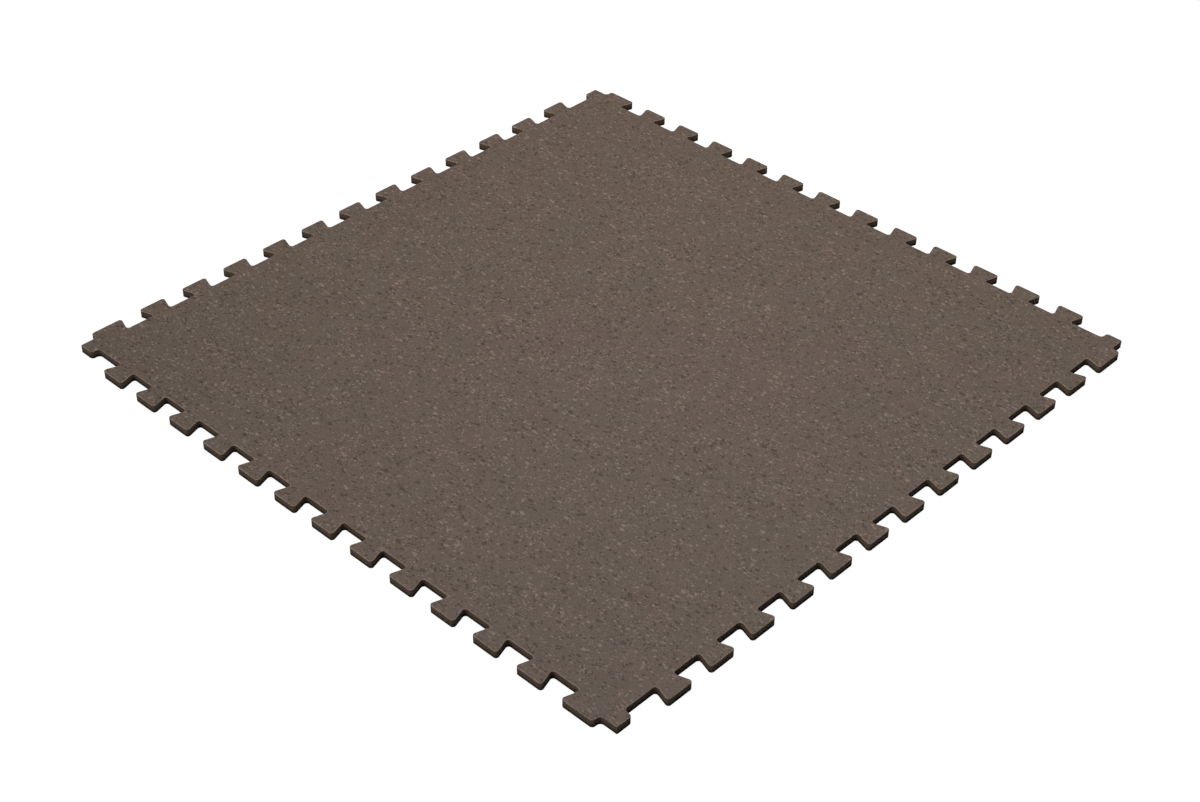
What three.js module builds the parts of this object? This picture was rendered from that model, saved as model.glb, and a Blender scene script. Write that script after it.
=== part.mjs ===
// Interlocking vinyl floor tile: one flat slab of solid vinyl with dovetail tabs on all four edges.
// Millimetres, +Z up. The origin is the centre of the underside.
// Each edge is the same, turned by a quarter, so any two tiles of this kind lock together.

import * as THREE from 'three';

// Slab
const THICKNESS = 5.8;
const TOP_ARRIS = 0.5; // small chamfer between the wearing face and the sides

// Edge pattern, measured on the laying line, where two neighbouring tiles share their width equally
const PITCH = 35.7; // one tab and one slot
const PITCHES_PER_EDGE = 14;
const TAB_REACH = 6.25; // from the laying line out to the tab tips, and in to the slot floors
const FLARE_ANGLE = 18; // degrees that a tab's flank leans outwards, so that the joint can't pull apart
const CORNER_LAND = 12.5; // straight run from each tile corner to the first slot and from the last tab
const JOINT_GAP = 0.3; // left between two laid tiles, all along the joint

// Roundings of the outline, seen from above
const CORNER_RADIUS = 1; // the four tile corners
const TIP_RADIUS = 2.15; // outer corners of the dovetail tabs
const ROOT_RADIUS = 1.65; // inner corners of the slots
const STEP_RADIUS = 2.5; // the two bends of each step beside a corner land
const ARC_STEPS = 4; // straight facets in one rounding
const LARGEST_SHARE_OF_WALL = 0.49; // of a wall that one rounding may take
const SMALLEST_RADIUS = 0.1; // left of a rounding where the outline is set back

const LAYING_SIDE = PITCH * PITCHES_PER_EDGE;
const FLARE_SHIFT = TAB_REACH * Math.tan(THREE.MathUtils.degToRad(FLARE_ANGLE));

// Sharp corners of one edge: along the edge from its first tile corner, outwards, and rounding radius.
function edgeCorners() {
  const corners = [
    [0, 0, CORNER_RADIUS],
    [CORNER_LAND, 0, STEP_RADIUS],
    [CORNER_LAND, -TAB_REACH, STEP_RADIUS],
  ];
  for (let k = 1; k < PITCHES_PER_EDGE - 1; k++) {
    const start = k * PITCH;
    const end = start + PITCH / 2;
    corners.push(
      [start + FLARE_SHIFT, -TAB_REACH, ROOT_RADIUS],
      [start - FLARE_SHIFT, TAB_REACH, TIP_RADIUS],
      [end + FLARE_SHIFT, TAB_REACH, TIP_RADIUS],
      [end - FLARE_SHIFT, -TAB_REACH, ROOT_RADIUS],
    );
  }
  // The last tab is wider: it runs on to the corner land, where it steps back to the laying line.
  const start = (PITCHES_PER_EDGE - 1) * PITCH;
  const end = LAYING_SIDE - CORNER_LAND;
  corners.push(
    [start + FLARE_SHIFT, -TAB_REACH, ROOT_RADIUS],
    [start - FLARE_SHIFT, TAB_REACH, TIP_RADIUS],
    [end, TAB_REACH, STEP_RADIUS],
    [end, 0, STEP_RADIUS],
  );
  return corners;
}

// The same edge four times, a quarter turn apart, anticlockwise round the tile.
function tileCorners() {
  const centre = new THREE.Vector2(0, 0);
  const corners = [];
  for (let side = 0; side < 4; side++) {
    for (const [along, out, radius] of edgeCorners()) {
      const point = new THREE.Vector2(along - LAYING_SIDE / 2, -LAYING_SIDE / 2 - out);
      point.rotateAround(centre, side * Math.PI / 2);
      corners.push({ point, radius });
    }
  }
  return corners;
}

// Points of the outline, set back into the material by a distance all the way round.
// Every setback gives the same number of points, so two outlines can be joined point by point.
function outline(corners, setback) {
  const points = [];
  const count = corners.length;
  for (let i = 0; i < count; i++) {
    const corner = corners[i].point;
    const before = corners[(i + count - 1) % count].point;
    const after = corners[(i + 1) % count].point;
    const incoming = corner.clone().sub(before);
    const outgoing = after.clone().sub(corner);
    const shorterWall = Math.min(incoming.length(), outgoing.length());
    incoming.normalize();
    outgoing.normalize();
    const inwardIn = new THREE.Vector2(-incoming.y, incoming.x);
    const inwardOut = new THREE.Vector2(-outgoing.y, outgoing.x);
    const turn = Math.atan2(incoming.cross(outgoing), incoming.dot(outgoing));
    const bend = Math.sign(turn); // 1 at an outer corner, -1 at an inner one
    const moved = inwardIn.clone().add(inwardOut)
      .multiplyScalar(setback / (1 + inwardIn.dot(inwardOut)))
      .add(corner);
    const tangentPerRadius = Math.tan(Math.abs(turn) / 2);
    const largest = LARGEST_SHARE_OF_WALL * shorterWall / tangentPerRadius;
    const wanted = Math.min(corners[i].radius, largest) - bend * setback;
    const radius = Math.max(wanted, SMALLEST_RADIUS);
    const arcStart = moved.clone().addScaledVector(incoming, -radius * tangentPerRadius);
    const arcCentre = arcStart.clone().addScaledVector(inwardIn, bend * radius);
    for (let step = 0; step <= ARC_STEPS; step++) {
      points.push(arcStart.clone().rotateAround(arcCentre, turn * step / ARC_STEPS));
    }
  }
  return points;
}

// Closed slab through a stack of outlines, with flat faces below and above.
function slabGeometry(levels) {
  const count = levels[0].points.length;
  const positions = [];
  for (const { points, z } of levels) {
    for (const point of points) positions.push(point.x, point.y, z);
  }
  const index = [];
  for (let level = 0; level + 1 < levels.length; level++) {
    for (let i = 0; i < count; i++) {
      const low = level * count + i;
      const lowNext = level * count + (i + 1) % count;
      index.push(low, lowNext, lowNext + count, low, lowNext + count, low + count);
    }
  }
  const topStart = (levels.length - 1) * count;
  for (const [a, b, c] of THREE.ShapeUtils.triangulateShape(levels[0].points, [])) {
    index.push(a, c, b);
  }
  for (const [a, b, c] of THREE.ShapeUtils.triangulateShape(levels.at(-1).points, [])) {
    index.push(topStart + a, topStart + b, topStart + c);
  }
  const geometry = new THREE.BufferGeometry();
  geometry.setAttribute('position', new THREE.Float32BufferAttribute(positions, 3));
  geometry.setIndex(index);
  geometry.computeVertexNormals();
  return geometry;
}

function makeTile() {
  const corners = tileCorners();
  const side = outline(corners, JOINT_GAP / 2);
  const rim = outline(corners, JOINT_GAP / 2 + TOP_ARRIS);
  const geometry = slabGeometry([
    { points: side, z: 0 },
    { points: side, z: THICKNESS - TOP_ARRIS },
    { points: rim, z: THICKNESS },
  ]);
  const vinyl = new THREE.MeshStandardMaterial({ color: 0x655a51, roughness: 0.6, metalness: 0 });
  const tile = new THREE.Mesh(geometry, vinyl);
  tile.name = 'tile';
  return tile;
}

const group = new THREE.Group();
group.add(makeTile());

export default group;
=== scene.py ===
# Interlocking vinyl floor tile: the dressed tile, its materials, a pale floor, soft light and the camera.
# Metres, +Z up. The origin is the centre of the tile's underside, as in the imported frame.

import math
from collections import namedtuple

import bpy
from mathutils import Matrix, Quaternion, Vector


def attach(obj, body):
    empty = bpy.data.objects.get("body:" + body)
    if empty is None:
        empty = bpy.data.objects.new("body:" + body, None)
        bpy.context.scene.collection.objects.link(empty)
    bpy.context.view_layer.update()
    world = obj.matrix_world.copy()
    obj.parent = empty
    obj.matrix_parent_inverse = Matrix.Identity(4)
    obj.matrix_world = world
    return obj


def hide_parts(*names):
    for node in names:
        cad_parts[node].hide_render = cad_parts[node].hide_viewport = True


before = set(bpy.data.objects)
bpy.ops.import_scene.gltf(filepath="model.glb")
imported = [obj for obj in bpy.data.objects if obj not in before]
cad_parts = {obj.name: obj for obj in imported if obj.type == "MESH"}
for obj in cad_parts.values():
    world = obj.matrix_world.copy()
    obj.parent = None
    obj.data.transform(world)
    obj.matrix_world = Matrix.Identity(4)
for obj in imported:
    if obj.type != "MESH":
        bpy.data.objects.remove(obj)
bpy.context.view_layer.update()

MM = 0.001
QUARTER_TURN = math.pi / 2

# Slab
THICKNESS = 5.8 * MM
RIM_ROUNDING = 0.5 * MM  # between the wearing face and the cut edge
RIM_STEPS = 4
FOOT_ROUNDING = 0.2 * MM  # between the cut edge and the underside
FOOT_STEPS = 2

# Edge pattern, on the laying line that two laid tiles share
PITCH = 35.7 * MM  # one tab and one slot
DOVETAIL_TABS = 12  # on each edge, besides the wide tab at its end
LAYING_SIDE = (DOVETAIL_TABS + 2) * PITCH
TAB_REACH = 6.25 * MM
FLARE = math.radians(18)
CORNER_LAND = 12.5 * MM
HALF_GAP = 0.15 * MM  # of the joint, taken off all round the outline

# Middles of the slots and tabs, in pitches from the tile corner. The wider slot that an edge starts with and
# the wide tab that it ends with are placed here as if they had the width of the others.
FIRST_SLOT = 0.75
FIRST_TAB = 1.25

# The finished edge, from the tile's middle: its lines, and the walls of the steps beside the corner lands
LAND_LINE = LAYING_SIDE / 2 - HALF_GAP
SLOT_FLOOR_LINE = LAYING_SIDE / 2 - TAB_REACH - HALF_GAP
FIRST_STEP_WALL = CORNER_LAND - LAYING_SIDE / 2 - HALF_GAP
LAST_STEP_WALL = LAYING_SIDE / 2 - CORNER_LAND - HALF_GAP

# A finished tab: half its width at the laying line, at its root and at its tip, and its flanks
HALF_TAB = PITCH / 4 - HALF_GAP / math.cos(FLARE)
HALF_TAB_ROOT = HALF_TAB - (TAB_REACH + HALF_GAP) * math.tan(FLARE)
HALF_TAB_TIP = HALF_TAB + (TAB_REACH - HALF_GAP) * math.tan(FLARE)
FLANK_LENGTH = 2 * TAB_REACH / math.cos(FLARE)
FLANK_TURN = QUARTER_TURN + FLARE

# Roundings seen from above, on the finished edge
CORNER_RADIUS = 1.0 * MM - HALF_GAP
TIP_RADIUS = 2.15 * MM - HALF_GAP
ROOT_RADIUS = 1.65 * MM + HALF_GAP
STEP_OUTER_RADIUS = 2.5 * MM - HALF_GAP
STEP_INNER_RADIUS = 2.5 * MM + HALF_GAP
ROUNDING_STEPS = 8

# Mesh
CELL_MARGIN = 1.5 * MM  # from the slot floors to the outermost cuts across the flat face
SAME_PLACE = 0.01 * MM  # points nearer together than this are one
LEVEL = 0.999  # least upright share of the normal of a face that lies flat

# Base colours, as linear red, green and blue
BODY_BROWN = (0.0892, 0.0618, 0.0482)
BODY_OLIVE = (0.0822, 0.0629, 0.0478)
PALE_CHIP = (0.154, 0.117, 0.096)
PINK_CHIP = (0.190, 0.136, 0.112)
OLIVE_CHIP = (0.038, 0.030, 0.0195)
UMBER_CHIP = (0.050, 0.034, 0.024)
DUSKY_CHIP = (0.059, 0.042, 0.030)
FAWN_CHIP = (0.121, 0.085, 0.067)
# Painted highlight along the rim's arris, as a colour
RIM_PAINTED_HIGHLIGHT = (0.200, 0.148, 0.118)
# Painted shade at the foot of the cut edge, as a colour
PAINTED_FOOT_SHADE = (0.006, 0.0035, 0.002)
# The cut edge's colours sit darker than the face's body: partly the cut vinyl's own dull tone, partly
# painted shade for the sides
CUT_BROWN = (0.051, 0.0305, 0.0140)
CUT_STREAK = (0.072, 0.0435, 0.0205)
CUT_DARK_CHIP = (0.018, 0.013, 0.008)
CUT_PALE_CHIP = (0.074, 0.052, 0.035)
BACK_DARK = (0.060, 0.050, 0.041)
BACK_PALE = (0.075, 0.061, 0.049)

# How many times shorter a pattern is along X, along Y and through the slab
UNSQUEEZED = (1.0, 1.0, 1.0)
CRUMB = (1.0, 1.2, 1.6)
FLAKE = (1.0, 1.3, 2.0)
BROAD_DARK_FLAKE = (1.0, 1.5, 2.5)
BROAD_PALE_FLAKE = (1.0, 1.6, 2.5)
SLIVER = (1.0, 3.2, 3.2)
CUT_CHIP = (1.0, 1.2, 1.8)
DRAG_LINE = (1.0, 1.0, 0.04)

# Chips, laid one layer over the next. Each layer has its cells turned by so many degrees, so that no two
# layers share them, and a chip in a share of its cells, in a colour between two.
ChipLayer = namedtuple("ChipLayer", "turn squeeze per_metre share one_colour other_colour strength")
CHIP_LAYERS = (
    ChipLayer(-15.0, CRUMB, 620.0, 0.45, DUSKY_CHIP, FAWN_CHIP, 0.9),
    ChipLayer(25.0, CRUMB, 1250.0, 0.75, OLIVE_CHIP, PALE_CHIP, 0.75),
    ChipLayer(10.0, CRUMB, 880.0, 0.55, OLIVE_CHIP, PALE_CHIP, 0.85),
    ChipLayer(-35.0, FLAKE, 480.0, 0.24, UMBER_CHIP, OLIVE_CHIP, 0.95),
    ChipLayer(70.0, FLAKE, 520.0, 0.18, PALE_CHIP, PINK_CHIP, 0.8),
    ChipLayer(40.0, BROAD_DARK_FLAKE, 250.0, 0.10, OLIVE_CHIP, UMBER_CHIP, 0.85),
    ChipLayer(-60.0, BROAD_PALE_FLAKE, 270.0, 0.08, PALE_CHIP, PINK_CHIP, 0.7),
    ChipLayer(-20.0, SLIVER, 300.0, 0.05, OLIVE_CHIP, UMBER_CHIP, 0.8),
    ChipLayer(85.0, SLIVER, 310.0, 0.06, PALE_CHIP, PINK_CHIP, 0.75),
)
DRIFT_PLACE = (-3.05, -0.55, 0)  # the stretch of the slow drift of colour that falls on the tile

# Relief, as the depth of each bump
FACE_GRAIN_DEPTH = 0.05 * MM
RIM_GRAIN_DEPTH = 0.04 * MM
BACK_GRAIN_DEPTH = 0.12 * MM
DRAG_DEPTH = 0.08 * MM

# Painted shade at the foot of the cut edge: darkest up to the first height, and the edge has its full colour
# from the second
FOOT_SHADE_DARKEST_TO = 0.2 * MM
FOOT_SHADE_FADED_BY = 3.4 * MM

# Floor, world and lamps
FLOOR_SIDE = 30
FLOOR_DIM = (0.73, 0.73, 0.73)
FLOOR_PALE = (0.75, 0.75, 0.75)
FLOOR_TO_CAMERA = (0.08, 0.08, 0.08)
FLOOR_FLAG = (0, 0, 0)
FLOOR_GLOW = 0.95
WHITE = (1, 1, 1, 1)
WORLD_LIGHT = 0.05
WORLD_TO_CAMERA = 0.98
Softbox = namedtuple("Softbox", "name place aim width depth watts")
SOFTBOXES = (
    Softbox("overhead_softbox", (-0.1, 0.28, 1.1), (-0.1, 0.28, 0), 1.0, 1.0, 16),
    Softbox("front_left_softbox", (-2.0, -7.2, 5.8), (0, 0, 0), 6.0, 4.0, 600),
)

# The Mix node's colour sockets go by number, because its sockets of other kinds have the same names
UNDER_COLOUR = 6
OVER_COLOUR = 7
MIXED_COLOUR = 2

# Camera, as fitted to the photograph
CAMERA_PLACE = (0.75986, -0.80118, 0.80462)
CAMERA_AIM = (0.04299, -0.04856, 0.0058)
CAMERA_ROLL = math.radians(0.57)
CAMERA_LENS = 60.27
CAMERA_SENSOR = 36


# The outline, drawn with a pen

class Pen:
    """Draws a chain of runs and rounded turns on from one selected point."""

    def __init__(self, x, y):
        self.place = Vector((x, y, 0))
        self.heading = 0.0

    def forward(self):
        return Vector((math.cos(self.heading), math.sin(self.heading), 0))

    def run(self, length):
        step = self.forward() * length
        bpy.ops.mesh.extrude_vertices_move(TRANSFORM_OT_translate={"value": step})
        self.place += step

    def run_to(self, x):
        """Straight on along the front edge, up to a place on it."""
        self.run(x - self.place.x)

    def turn(self, angle, radius):
        """Turns left for a plus angle and right for a minus one."""
        left = Vector((-math.sin(self.heading), math.cos(self.heading), 0))
        centre = self.place + left * math.copysign(radius, angle)
        bpy.ops.mesh.spin(steps=ROUNDING_STEPS, angle=-angle, center=centre, axis=(0, 0, 1))
        arm = self.place - centre
        arm.rotate(Quaternion((0, 0, 1), angle))
        self.place = centre + arm
        self.heading += angle


def start_outline(x, y):
    """A piece that is a single selected point, in edit mode."""
    bpy.ops.object.select_all(action="DESELECT")
    bpy.ops.mesh.primitive_plane_add(size=PITCH, location=(x, y, 0))
    bpy.ops.object.transform_apply(location=True)
    bpy.ops.object.mode_set(mode="EDIT")
    bpy.ops.mesh.select_mode(type="VERT")
    bpy.ops.mesh.select_all(action="SELECT")
    bpy.ops.mesh.merge(type="CENTER")
    return Pen(x, y)


def along_edge(pitches):
    """A place along the front edge, so many pitches from the tile corner."""
    return pitches * PITCH - LAYING_SIDE / 2


def cut_back(angle, radius):
    """How much of a straight run a rounded turn takes up."""
    return radius * math.tan(abs(angle) / 2)


def run_along_flank(pen):
    """The straight part of a flank, between its two rounded turns."""
    pen.run(FLANK_LENGTH - cut_back(FLANK_TURN, ROOT_RADIUS) - cut_back(FLANK_TURN, TIP_RADIUS))


def draw_way_out(pen, middle):
    """Along the slot floor, and out round the near flank on to the tip of the tab with that middle."""
    pen.run_to(middle - HALF_TAB_ROOT - cut_back(FLANK_TURN, ROOT_RADIUS))
    pen.turn(-FLANK_TURN, ROOT_RADIUS)
    run_along_flank(pen)
    pen.turn(FLANK_TURN, TIP_RADIUS)


def draw_way_in(pen, middle):
    """Along the tip of the tab with that middle, and in round its far flank on to the slot floor."""
    pen.run_to(middle + HALF_TAB_TIP - cut_back(FLANK_TURN, TIP_RADIUS))
    pen.turn(FLANK_TURN, TIP_RADIUS)
    run_along_flank(pen)
    pen.turn(-FLANK_TURN, ROOT_RADIUS)


def draw_step_in(pen, wall):
    """Up to a wall, and round it in a square step inwards."""
    pen.run_to(wall - STEP_OUTER_RADIUS)
    pen.turn(QUARTER_TURN, STEP_OUTER_RADIUS)
    pen.run(TAB_REACH - STEP_OUTER_RADIUS - STEP_INNER_RADIUS)
    pen.turn(-QUARTER_TURN, STEP_INNER_RADIUS)


def draw_edge():
    """The front edge, from the end of one tile corner's rounding to the end of the next one's."""
    pen = start_outline(CORNER_RADIUS - LAND_LINE, -LAND_LINE)
    draw_step_in(pen, FIRST_STEP_WALL)
    for k in range(DOVETAIL_TABS):
        middle = along_edge(k + FIRST_TAB)
        draw_way_out(pen, middle)
        draw_way_in(pen, middle)
    draw_way_out(pen, along_edge(DOVETAIL_TABS + FIRST_TAB))
    draw_step_in(pen, LAST_STEP_WALL)
    pen.run_to(LAND_LINE - CORNER_RADIUS)
    pen.turn(QUARTER_TURN, CORNER_RADIUS)


def repeat_edge():
    """The same edge four times, a quarter turn apart, joined into one closed outline."""
    bpy.ops.mesh.select_all(action="SELECT")
    for _ in range(3):
        bpy.ops.mesh.duplicate()
        bpy.ops.transform.rotate(value=QUARTER_TURN, orient_axis="Z", center_override=(0, 0, 0))
    bpy.ops.mesh.select_all(action="SELECT")
    bpy.ops.mesh.remove_doubles(threshold=SAME_PLACE)


# The slab

def cut_into_cells():
    """Cuts the flat face through the middle of each slot and tab, and just inside the slot floors."""
    inside = SLOT_FLOOR_LINE - CELL_MARGIN
    middles = [along_edge(k / 2 + FIRST_SLOT) for k in range(2 * (DOVETAIL_TABS + 1))]
    for place in [-inside, inside] + middles:
        for normal in ((1, 0, 0), (0, 1, 0)):
            bpy.ops.mesh.select_all(action="SELECT")
            bpy.ops.mesh.bisect(plane_co=(place, place, 0), plane_no=normal)


def choose_faces(piece, wanted):
    """Selects the faces for which wanted(face) holds, in edit mode."""
    bpy.ops.mesh.select_all(action="DESELECT")
    bpy.ops.mesh.select_mode(type="FACE")
    bpy.ops.object.mode_set(mode="OBJECT")
    for face in piece.data.polygons:
        face.select = wanted(face)
    bpy.ops.object.mode_set(mode="EDIT")


def faces_at(height):
    """A test for the faces that lie flat at one height."""
    return lambda face: abs(face.normal.z) > LEVEL and abs(face.center.z - height) < SAME_PLACE


def round_over(piece, height, radius, steps):
    """Rounds off the edge that runs all round the outline at one height."""
    choose_faces(piece, faces_at(height))
    bpy.ops.mesh.region_to_loop()
    bpy.ops.mesh.bevel(offset=radius, segments=steps, profile=0.5, affect="EDGES", clamp_overlap=False)


def model_tile():
    """The whole tile: the outline filled and given its thickness, with its upper and lower edges rounded."""
    draw_edge()
    repeat_edge()
    bpy.ops.mesh.edge_face_add()
    piece = bpy.context.active_object
    piece.name = "vinyl_tile"
    cut_into_cells()
    bpy.ops.mesh.select_all(action="SELECT")
    bpy.ops.mesh.extrude_region_move(TRANSFORM_OT_translate={"value": (0, 0, THICKNESS)})
    bpy.ops.mesh.select_all(action="SELECT")
    bpy.ops.mesh.normals_make_consistent(inside=False)
    round_over(piece, THICKNESS, RIM_ROUNDING, RIM_STEPS)
    round_over(piece, 0, FOOT_ROUNDING, FOOT_STEPS)
    bpy.ops.object.mode_set(mode="OBJECT")
    return piece


def finish_surfaces(piece):
    """One material each for the wearing face, its rim, the cut edge and the underside."""
    for material in (wearing_face(), rim(), cut_edge(), underside()):
        piece.data.materials.append(material)
    on_face, on_rim, on_edge, on_underside = range(4)
    for face in piece.data.polygons:
        face.use_smooth = abs(face.normal.z) < LEVEL
        if face.normal.z > LEVEL:
            face.material_index = on_face
        elif face.normal.z < -LEVEL:
            face.material_index = on_underside
        elif face.center.z > THICKNESS - RIM_ROUNDING:
            face.material_index = on_rim
        else:
            face.material_index = on_edge


# Shader nodes, for groups and materials alike. A tree is the node tree that they are added to.

def feed(tree, socket, value):
    """Links a socket to another node's, or sets it to a plain value."""
    if isinstance(value, bpy.types.NodeSocket):
        tree.links.new(value, socket)
    else:
        socket.default_value = value


def add_math(tree, operation, *operands):
    node = tree.nodes.new("ShaderNodeMath")
    node.operation = operation
    for socket, operand in zip(node.inputs, operands):
        feed(tree, socket, operand)
    return node.outputs["Value"]


def add_vector_math(tree, operation, first, second):
    node = tree.nodes.new("ShaderNodeVectorMath")
    node.operation = operation
    feed(tree, node.inputs[0], first)
    feed(tree, node.inputs[1], second)
    return node.outputs["Vector"]


def add_scaled(tree, vector, factor):
    node = tree.nodes.new("ShaderNodeVectorMath")
    node.operation = "SCALE"
    feed(tree, node.inputs[0], vector)
    feed(tree, node.inputs["Scale"], factor)
    return node.outputs["Vector"]


def add_squeezed(tree, vector, squeeze, turn=0.0, move=(0, 0, 0)):
    """The coordinates squeezed, then turned about Z by so many degrees and moved."""
    node = tree.nodes.new("ShaderNodeMapping")
    node.inputs["Location"].default_value = move
    node.inputs["Rotation"].default_value = (0, 0, math.radians(turn))
    node.inputs["Scale"].default_value = squeeze
    tree.links.new(vector, node.inputs["Vector"])
    return node.outputs["Vector"]


def add_noise(tree, vector, scale, detail=2.0, roughness=0.5, output="Fac"):
    """A soft noise with so many cells to each unit of its coordinates."""
    node = tree.nodes.new("ShaderNodeTexNoise")
    node.inputs["Scale"].default_value = scale
    node.inputs["Detail"].default_value = detail
    node.inputs["Roughness"].default_value = roughness
    tree.links.new(vector, node.inputs["Vector"])
    return node.outputs[output]


def add_range(tree, value, low, high, to_low=0.0, to_high=1.0):
    """A smooth step that starts where the value is low and ends where it is high."""
    node = tree.nodes.new("ShaderNodeMapRange")
    node.interpolation_type = "SMOOTHSTEP"
    node.inputs["From Min"].default_value = low
    node.inputs["From Max"].default_value = high
    node.inputs["To Min"].default_value = to_low
    node.inputs["To Max"].default_value = to_high
    tree.links.new(value, node.inputs["Value"])
    return node.outputs["Result"]


def add_tint(tree, share, under, over):
    """Lays one colour over another by a share. A colour is a socket or three numbers."""
    node = tree.nodes.new("ShaderNodeMix")
    node.data_type = "RGBA"
    tree.links.new(share, node.inputs["Factor"])
    for number, colour in ((UNDER_COLOUR, under), (OVER_COLOUR, over)):
        feed(tree, node.inputs[number], (*colour, 1) if isinstance(colour, tuple) else colour)
    return node.outputs[MIXED_COLOUR]


def add_bump(tree, shader, height, depth):
    node = tree.nodes.new("ShaderNodeBump")
    node.inputs["Distance"].default_value = depth
    tree.links.new(height, node.inputs["Height"])
    tree.links.new(node.outputs["Normal"], shader.inputs["Normal"])


# Shader node groups that the materials share

def new_group(name, inputs, outputs):
    """An empty node group with named sockets. An input is (name, kind, default)."""
    group = bpy.data.node_groups.new(name, "ShaderNodeTree")
    for label, kind, default in inputs:
        socket = group.interface.new_socket(label, in_out="INPUT", socket_type=kind)
        if default is not None:
            socket.default_value = default
    for label, kind in outputs:
        group.interface.new_socket(label, in_out="OUTPUT", socket_type=kind)
    return group, group.nodes.new("NodeGroupInput"), group.nodes.new("NodeGroupOutput")


def add_warped(group, vector, ragged):
    """The coordinates pushed about by a noise, which makes the walls between cells ragged."""
    noise_middle = (0.5, 0.5, 0.5)
    noise = add_noise(group, vector, scale=2.1, detail=3.0, roughness=0.6, output="Color")
    push = add_vector_math(group, "SUBTRACT", noise, noise_middle)
    return add_vector_math(group, "ADD", vector, add_scaled(group, push, ragged))


def add_crowding(group, vector):
    """A slow change over the face: how crowded the chips are, as a factor on their share."""
    crowd = add_noise(group, vector, scale=48.0, detail=1.0)
    return add_range(group, crowd, low=0.35, high=0.65, to_low=0.45, to_high=1.55)


def chip_flecks_group():
    """Irregular chips pressed into the vinyl: a share of the cells of a ragged cell pattern."""
    group, given, out = new_group(
        "chip flecks",
        inputs=[
            ("Vector", "NodeSocketVector", None),
            ("Chips Per Metre", "NodeSocketFloat", 300.0),
            ("Share", "NodeSocketFloat", 0.15),
            ("Ragged", "NodeSocketFloat", 0.85),
        ],
        outputs=[("Mask", "NodeSocketFloat"), ("Shade", "NodeSocketFloat")],
    )
    place = given.outputs["Vector"]
    scaled = add_scaled(group, place, given.outputs["Chips Per Metre"])
    cells = group.nodes.new("ShaderNodeTexVoronoi")
    cells.inputs["Scale"].default_value = 1.0
    group.links.new(add_warped(group, scaled, given.outputs["Ragged"]), cells.inputs["Vector"])

    # A cell's random colour serves as three numbers: whether it holds a chip, the chip's size and its shade
    chance = group.nodes.new("ShaderNodeSeparateColor")
    group.links.new(cells.outputs["Color"], chance.inputs["Color"])
    share = add_math(group, "MULTIPLY", given.outputs["Share"], add_crowding(group, place))
    picked = add_math(group, "LESS_THAN", chance.outputs["Red"], share)

    # In cells: a chip's least reach from its cell's point, the most that is added, and half its soft rim
    least_reach = 0.14
    added_reach = 0.42
    soft_rim = 0.04
    reach = add_math(group, "MULTIPLY_ADD", chance.outputs["Green"], added_reach, least_reach)
    within = add_math(group, "SUBTRACT", reach, cells.outputs["Distance"])
    chip = add_range(group, within, low=-soft_rim, high=soft_rim)
    group.links.new(add_math(group, "MULTIPLY", picked, chip), out.inputs["Mask"])
    group.links.new(chance.outputs["Blue"], out.inputs["Shade"])
    return group


def fine_grain_group():
    """The fine pressed texture of the vinyl's skin, as a height and a roughness."""
    group, given, out = new_group(
        "fine grain",
        inputs=[("Vector", "NodeSocketVector", None), ("Grains Per Metre", "NodeSocketFloat", 1500.0)],
        outputs=[("Height", "NodeSocketFloat"), ("Roughness", "NodeSocketFloat")],
    )
    scaled = add_scaled(group, given.outputs["Vector"], given.outputs["Grains Per Metre"])
    grain = add_noise(group, scaled, scale=1.0, detail=4.0, roughness=0.6)
    broad = add_noise(group, scaled, scale=0.05, detail=2.0)
    group.links.new(grain, out.inputs["Height"])
    fine_part = add_range(group, grain, low=0.2, high=0.8, to_low=-0.05, to_high=0.05)
    broad_part = add_range(group, broad, low=0.3, high=0.7, to_low=0.58, to_high=0.62)
    group.links.new(add_math(group, "ADD", fine_part, broad_part), out.inputs["Roughness"])
    return group


FLECKS = chip_flecks_group()
GRAIN = fine_grain_group()


def add_group(tree, group, vector, values):
    """A group placed in a material, with its own values for the group's named inputs."""
    node = tree.nodes.new("ShaderNodeGroup")
    node.node_tree = group
    tree.links.new(vector, node.inputs["Vector"])
    for label, value in values.items():
        node.inputs[label].default_value = value
    return node


# Materials

def new_material(name, specular):
    """A plain dielectric finish, with the piece's own coordinates to hang its patterns on."""
    material = bpy.data.materials.new(name)
    material.use_nodes = True
    tree = material.node_tree
    shader = tree.nodes["Principled BSDF"]
    shader.inputs["Specular IOR Level"].default_value = specular
    place = tree.nodes.new("ShaderNodeTexCoord").outputs["Object"]
    return material, tree, shader, place


def add_body_colour(tree, place):
    """The vinyl between its chips: soft blotches on a slow drift, from brown to olive."""
    blotch = add_noise(tree, place, scale=38.0, detail=3.0)
    drift = add_noise(tree, add_squeezed(tree, place, UNSQUEEZED, move=DRIFT_PLACE), scale=3.5, detail=1.0)
    olive = add_math(tree, "MULTIPLY_ADD", drift, 0.5, blotch)
    return add_tint(tree, add_range(tree, olive, low=0.65, high=0.95), BODY_BROWN, BODY_OLIVE)


def add_flecked_vinyl(tree, place):
    """The vinyl itself: its body colour, under chips of six colours in several sizes."""
    colour = add_body_colour(tree, place)
    for layer in CHIP_LAYERS:
        flecks = add_group(tree, FLECKS, add_squeezed(tree, place, layer.squeeze, layer.turn),
                           {"Chips Per Metre": layer.per_metre, "Share": layer.share})
        chip = add_tint(tree, flecks.outputs["Shade"], layer.one_colour, layer.other_colour)
        mask = add_math(tree, "MULTIPLY", flecks.outputs["Mask"], layer.strength)
        colour = add_tint(tree, mask, colour, chip)
    return colour


def press_grain(tree, shader, place, grains_per_metre, depth):
    """The vinyl's fine grain, in a finish's roughness and relief."""
    grain = add_group(tree, GRAIN, place, {"Grains Per Metre": grains_per_metre})
    tree.links.new(grain.outputs["Roughness"], shader.inputs["Roughness"])
    add_bump(tree, shader, grain.outputs["Height"], depth)


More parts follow.
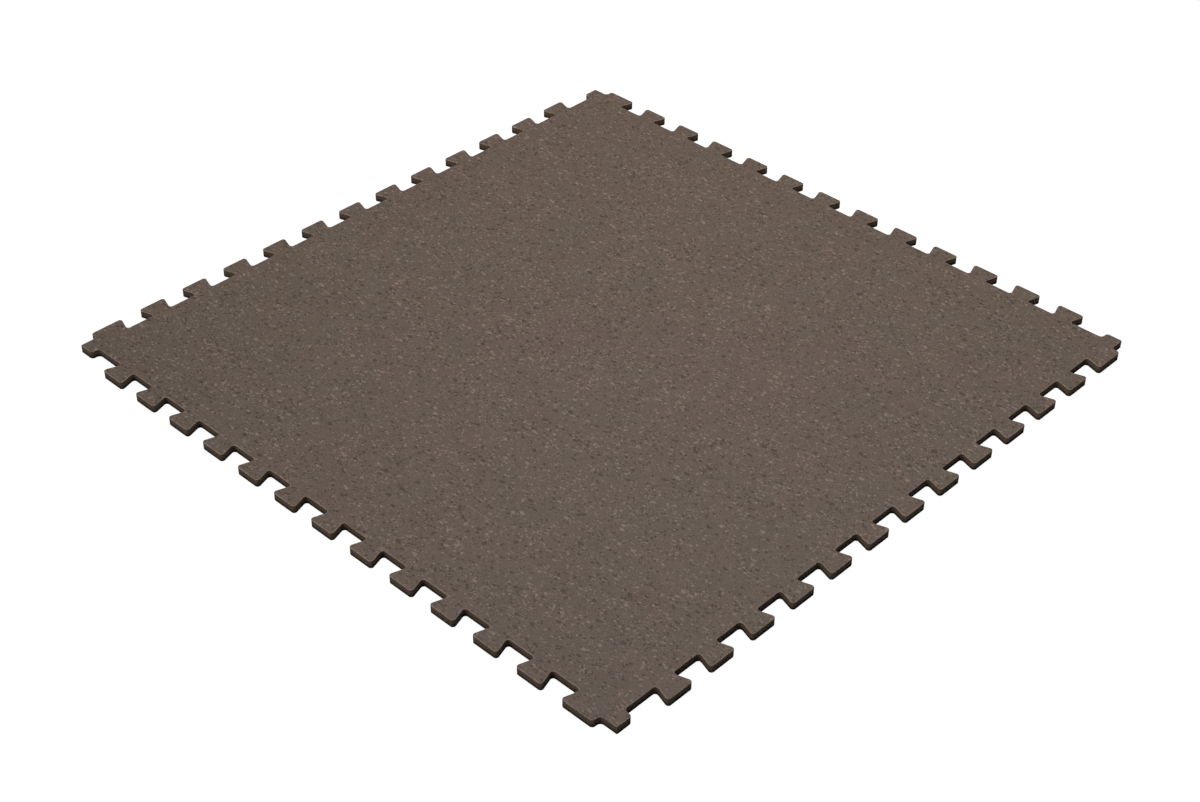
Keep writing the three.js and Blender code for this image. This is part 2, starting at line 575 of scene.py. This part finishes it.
def wearing_face():
    """The upper face: flecked vinyl with a fine pressed grain."""
    material, tree, shader, place = new_material("flecked vinyl wearing face", specular=0.2)
    tree.links.new(add_flecked_vinyl(tree, place), shader.inputs["Base Color"])
    press_grain(tree, shader, place, grains_per_metre=1400.0, depth=FACE_GRAIN_DEPTH)
    return material


def rim():
    """The arris: the same flecked vinyl, lightened in patches by a painted highlight."""
    material, tree, shader, place = new_material("flecked vinyl rim with painted highlight", specular=0.3)
    # Painted highlight: noise patches on the arris lightened towards a pale tint
    rim_highlight = add_noise(tree, place, scale=220.0, detail=3.0)
    share = add_range(tree, rim_highlight, low=0.3, high=0.7, to_low=0.25, to_high=0.65)
    colour = add_tint(tree, share, add_flecked_vinyl(tree, place), RIM_PAINTED_HIGHLIGHT)
    tree.links.new(colour, shader.inputs["Base Color"])
    press_grain(tree, shader, place, grains_per_metre=1800.0, depth=RIM_GRAIN_DEPTH)
    return material


def add_cut_vinyl(tree, place, drag):
    """The vinyl as the die leaves it, darker than the face partly in its own dull tone and partly by painted
    shade: streaked by the drag lines, with faint cut chips.
    """
    streaks = add_range(tree, drag, low=0.4, high=0.75, to_low=0.0, to_high=0.6)
    vinyl = add_tint(tree, streaks, CUT_BROWN, CUT_STREAK)
    flecks = add_group(tree, FLECKS, add_squeezed(tree, place, CUT_CHIP, turn=20.0),
                       {"Chips Per Metre": 420.0, "Share": 0.35})
    chip = add_tint(tree, flecks.outputs["Shade"], CUT_DARK_CHIP, CUT_PALE_CHIP)
    faint = add_math(tree, "MULTIPLY", flecks.outputs["Mask"], 0.6)
    return add_tint(tree, faint, vinyl, chip)


def cut_edge():
    """The die-cut side: dark, dull, with upright drag lines, and painted shade that is darkest at the foot.
    """
    material, tree, shader, place = new_material("cut vinyl edge", specular=0.5)
    drag = add_noise(tree, add_squeezed(tree, place, DRAG_LINE), scale=1600.0, detail=3.0)
    axes = tree.nodes.new("ShaderNodeSeparateXYZ")
    tree.links.new(place, axes.inputs["Vector"])
    # Painted shade: the cut edge darkened towards the underside, as a contact shadow
    above_foot_shade = add_range(tree, axes.outputs["Z"], low=FOOT_SHADE_DARKEST_TO, high=FOOT_SHADE_FADED_BY)
    colour = add_tint(tree, above_foot_shade, PAINTED_FOOT_SHADE, add_cut_vinyl(tree, place, drag))
    tree.links.new(colour, shader.inputs["Base Color"])
    roughness = add_range(tree, drag, low=0.3, high=0.7, to_low=0.75, to_high=0.95)
    tree.links.new(roughness, shader.inputs["Roughness"])
    add_bump(tree, shader, drag, DRAG_DEPTH)
    return material


def underside():
    """The plain back, slightly cloudy, with a coarser pressed grain."""
    material, tree, shader, place = new_material("plain vinyl underside", specular=0.25)
    cloud = add_noise(tree, place, scale=30.0, detail=3.0)
    share = add_range(tree, cloud, low=0.3, high=0.7)
    tree.links.new(add_tint(tree, share, BACK_DARK, BACK_PALE), shader.inputs["Base Color"])
    press_grain(tree, shader, place, grains_per_metre=700.0, depth=BACK_GRAIN_DEPTH)
    return material


def studio_paint():
    """White floor paint, lit from within for the camera, and flagged off so that no gloss mirrors it."""
    material, tree, shader, place = new_material("pale studio floor", specular=0.0)
    paint = add_tint(tree, add_noise(tree, place, scale=3.0), FLOOR_DIM, FLOOR_PALE)
    path = tree.nodes.new("ShaderNodeLightPath")
    seen = path.outputs["Is Camera Ray"]
    flagged = add_tint(tree, path.outputs["Is Glossy Ray"], paint, FLOOR_FLAG)
    tree.links.new(add_tint(tree, seen, flagged, FLOOR_TO_CAMERA), shader.inputs["Base Color"])
    shader.inputs["Roughness"].default_value = 0.9
    shader.inputs["Emission Color"].default_value = WHITE
    tree.links.new(add_math(tree, "MULTIPLY", seen, FLOOR_GLOW), shader.inputs["Emission Strength"])
    return material


# The stage

def lay_floor():
    bpy.ops.object.select_all(action="DESELECT")
    bpy.ops.mesh.primitive_plane_add(size=FLOOR_SIDE, location=(0, 0, 0))
    floor = bpy.context.active_object
    floor.name = "studio_floor"
    floor.data.materials.append(studio_paint())


def fill_world():
    """A white world, bright to the camera and dim as a light."""
    world = bpy.data.worlds.new("studio")
    world.use_nodes = True
    tree = world.node_tree
    background = tree.nodes["Background"]
    background.inputs["Color"].default_value = WHITE
    seen = tree.nodes.new("ShaderNodeLightPath").outputs["Is Camera Ray"]
    strength = add_range(tree, seen, low=0.0, high=1.0, to_low=WORLD_LIGHT, to_high=WORLD_TO_CAMERA)
    tree.links.new(strength, background.inputs["Strength"])
    bpy.context.scene.world = world


def aimed(place, aim):
    """The turn that points a lamp or camera at its aim, with its top up."""
    return (Vector(aim) - Vector(place)).to_track_quat("-Z", "Y")


def hang_softbox(box):
    bpy.ops.object.select_all(action="DESELECT")
    bpy.ops.object.light_add(type="AREA", location=box.place)
    lamp = bpy.context.active_object
    lamp.name = box.name
    lamp.data.shape = "RECTANGLE"
    lamp.data.size = box.width
    lamp.data.size_y = box.depth
    lamp.data.energy = box.watts
    lamp.rotation_euler = aimed(box.place, box.aim).to_euler()


def light_studio():
    fill_world()
    for softbox in SOFTBOXES:
        hang_softbox(softbox)
    bpy.context.scene.view_settings.view_transform = "Standard"


def place_camera():
    bpy.ops.object.camera_add(location=CAMERA_PLACE)
    camera = bpy.context.active_object
    camera.name = "camera"
    roll = Quaternion((0, 0, 1), CAMERA_ROLL)
    camera.rotation_euler = (aimed(CAMERA_PLACE, CAMERA_AIM) @ roll).to_euler()
    camera.data.sensor_width = CAMERA_SENSOR
    camera.data.lens = CAMERA_LENS
    bpy.context.scene.camera = camera


place_camera()
tile = model_tile()
finish_surfaces(tile)
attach(tile, "root")
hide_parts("tile")
lay_floor()
light_studio()
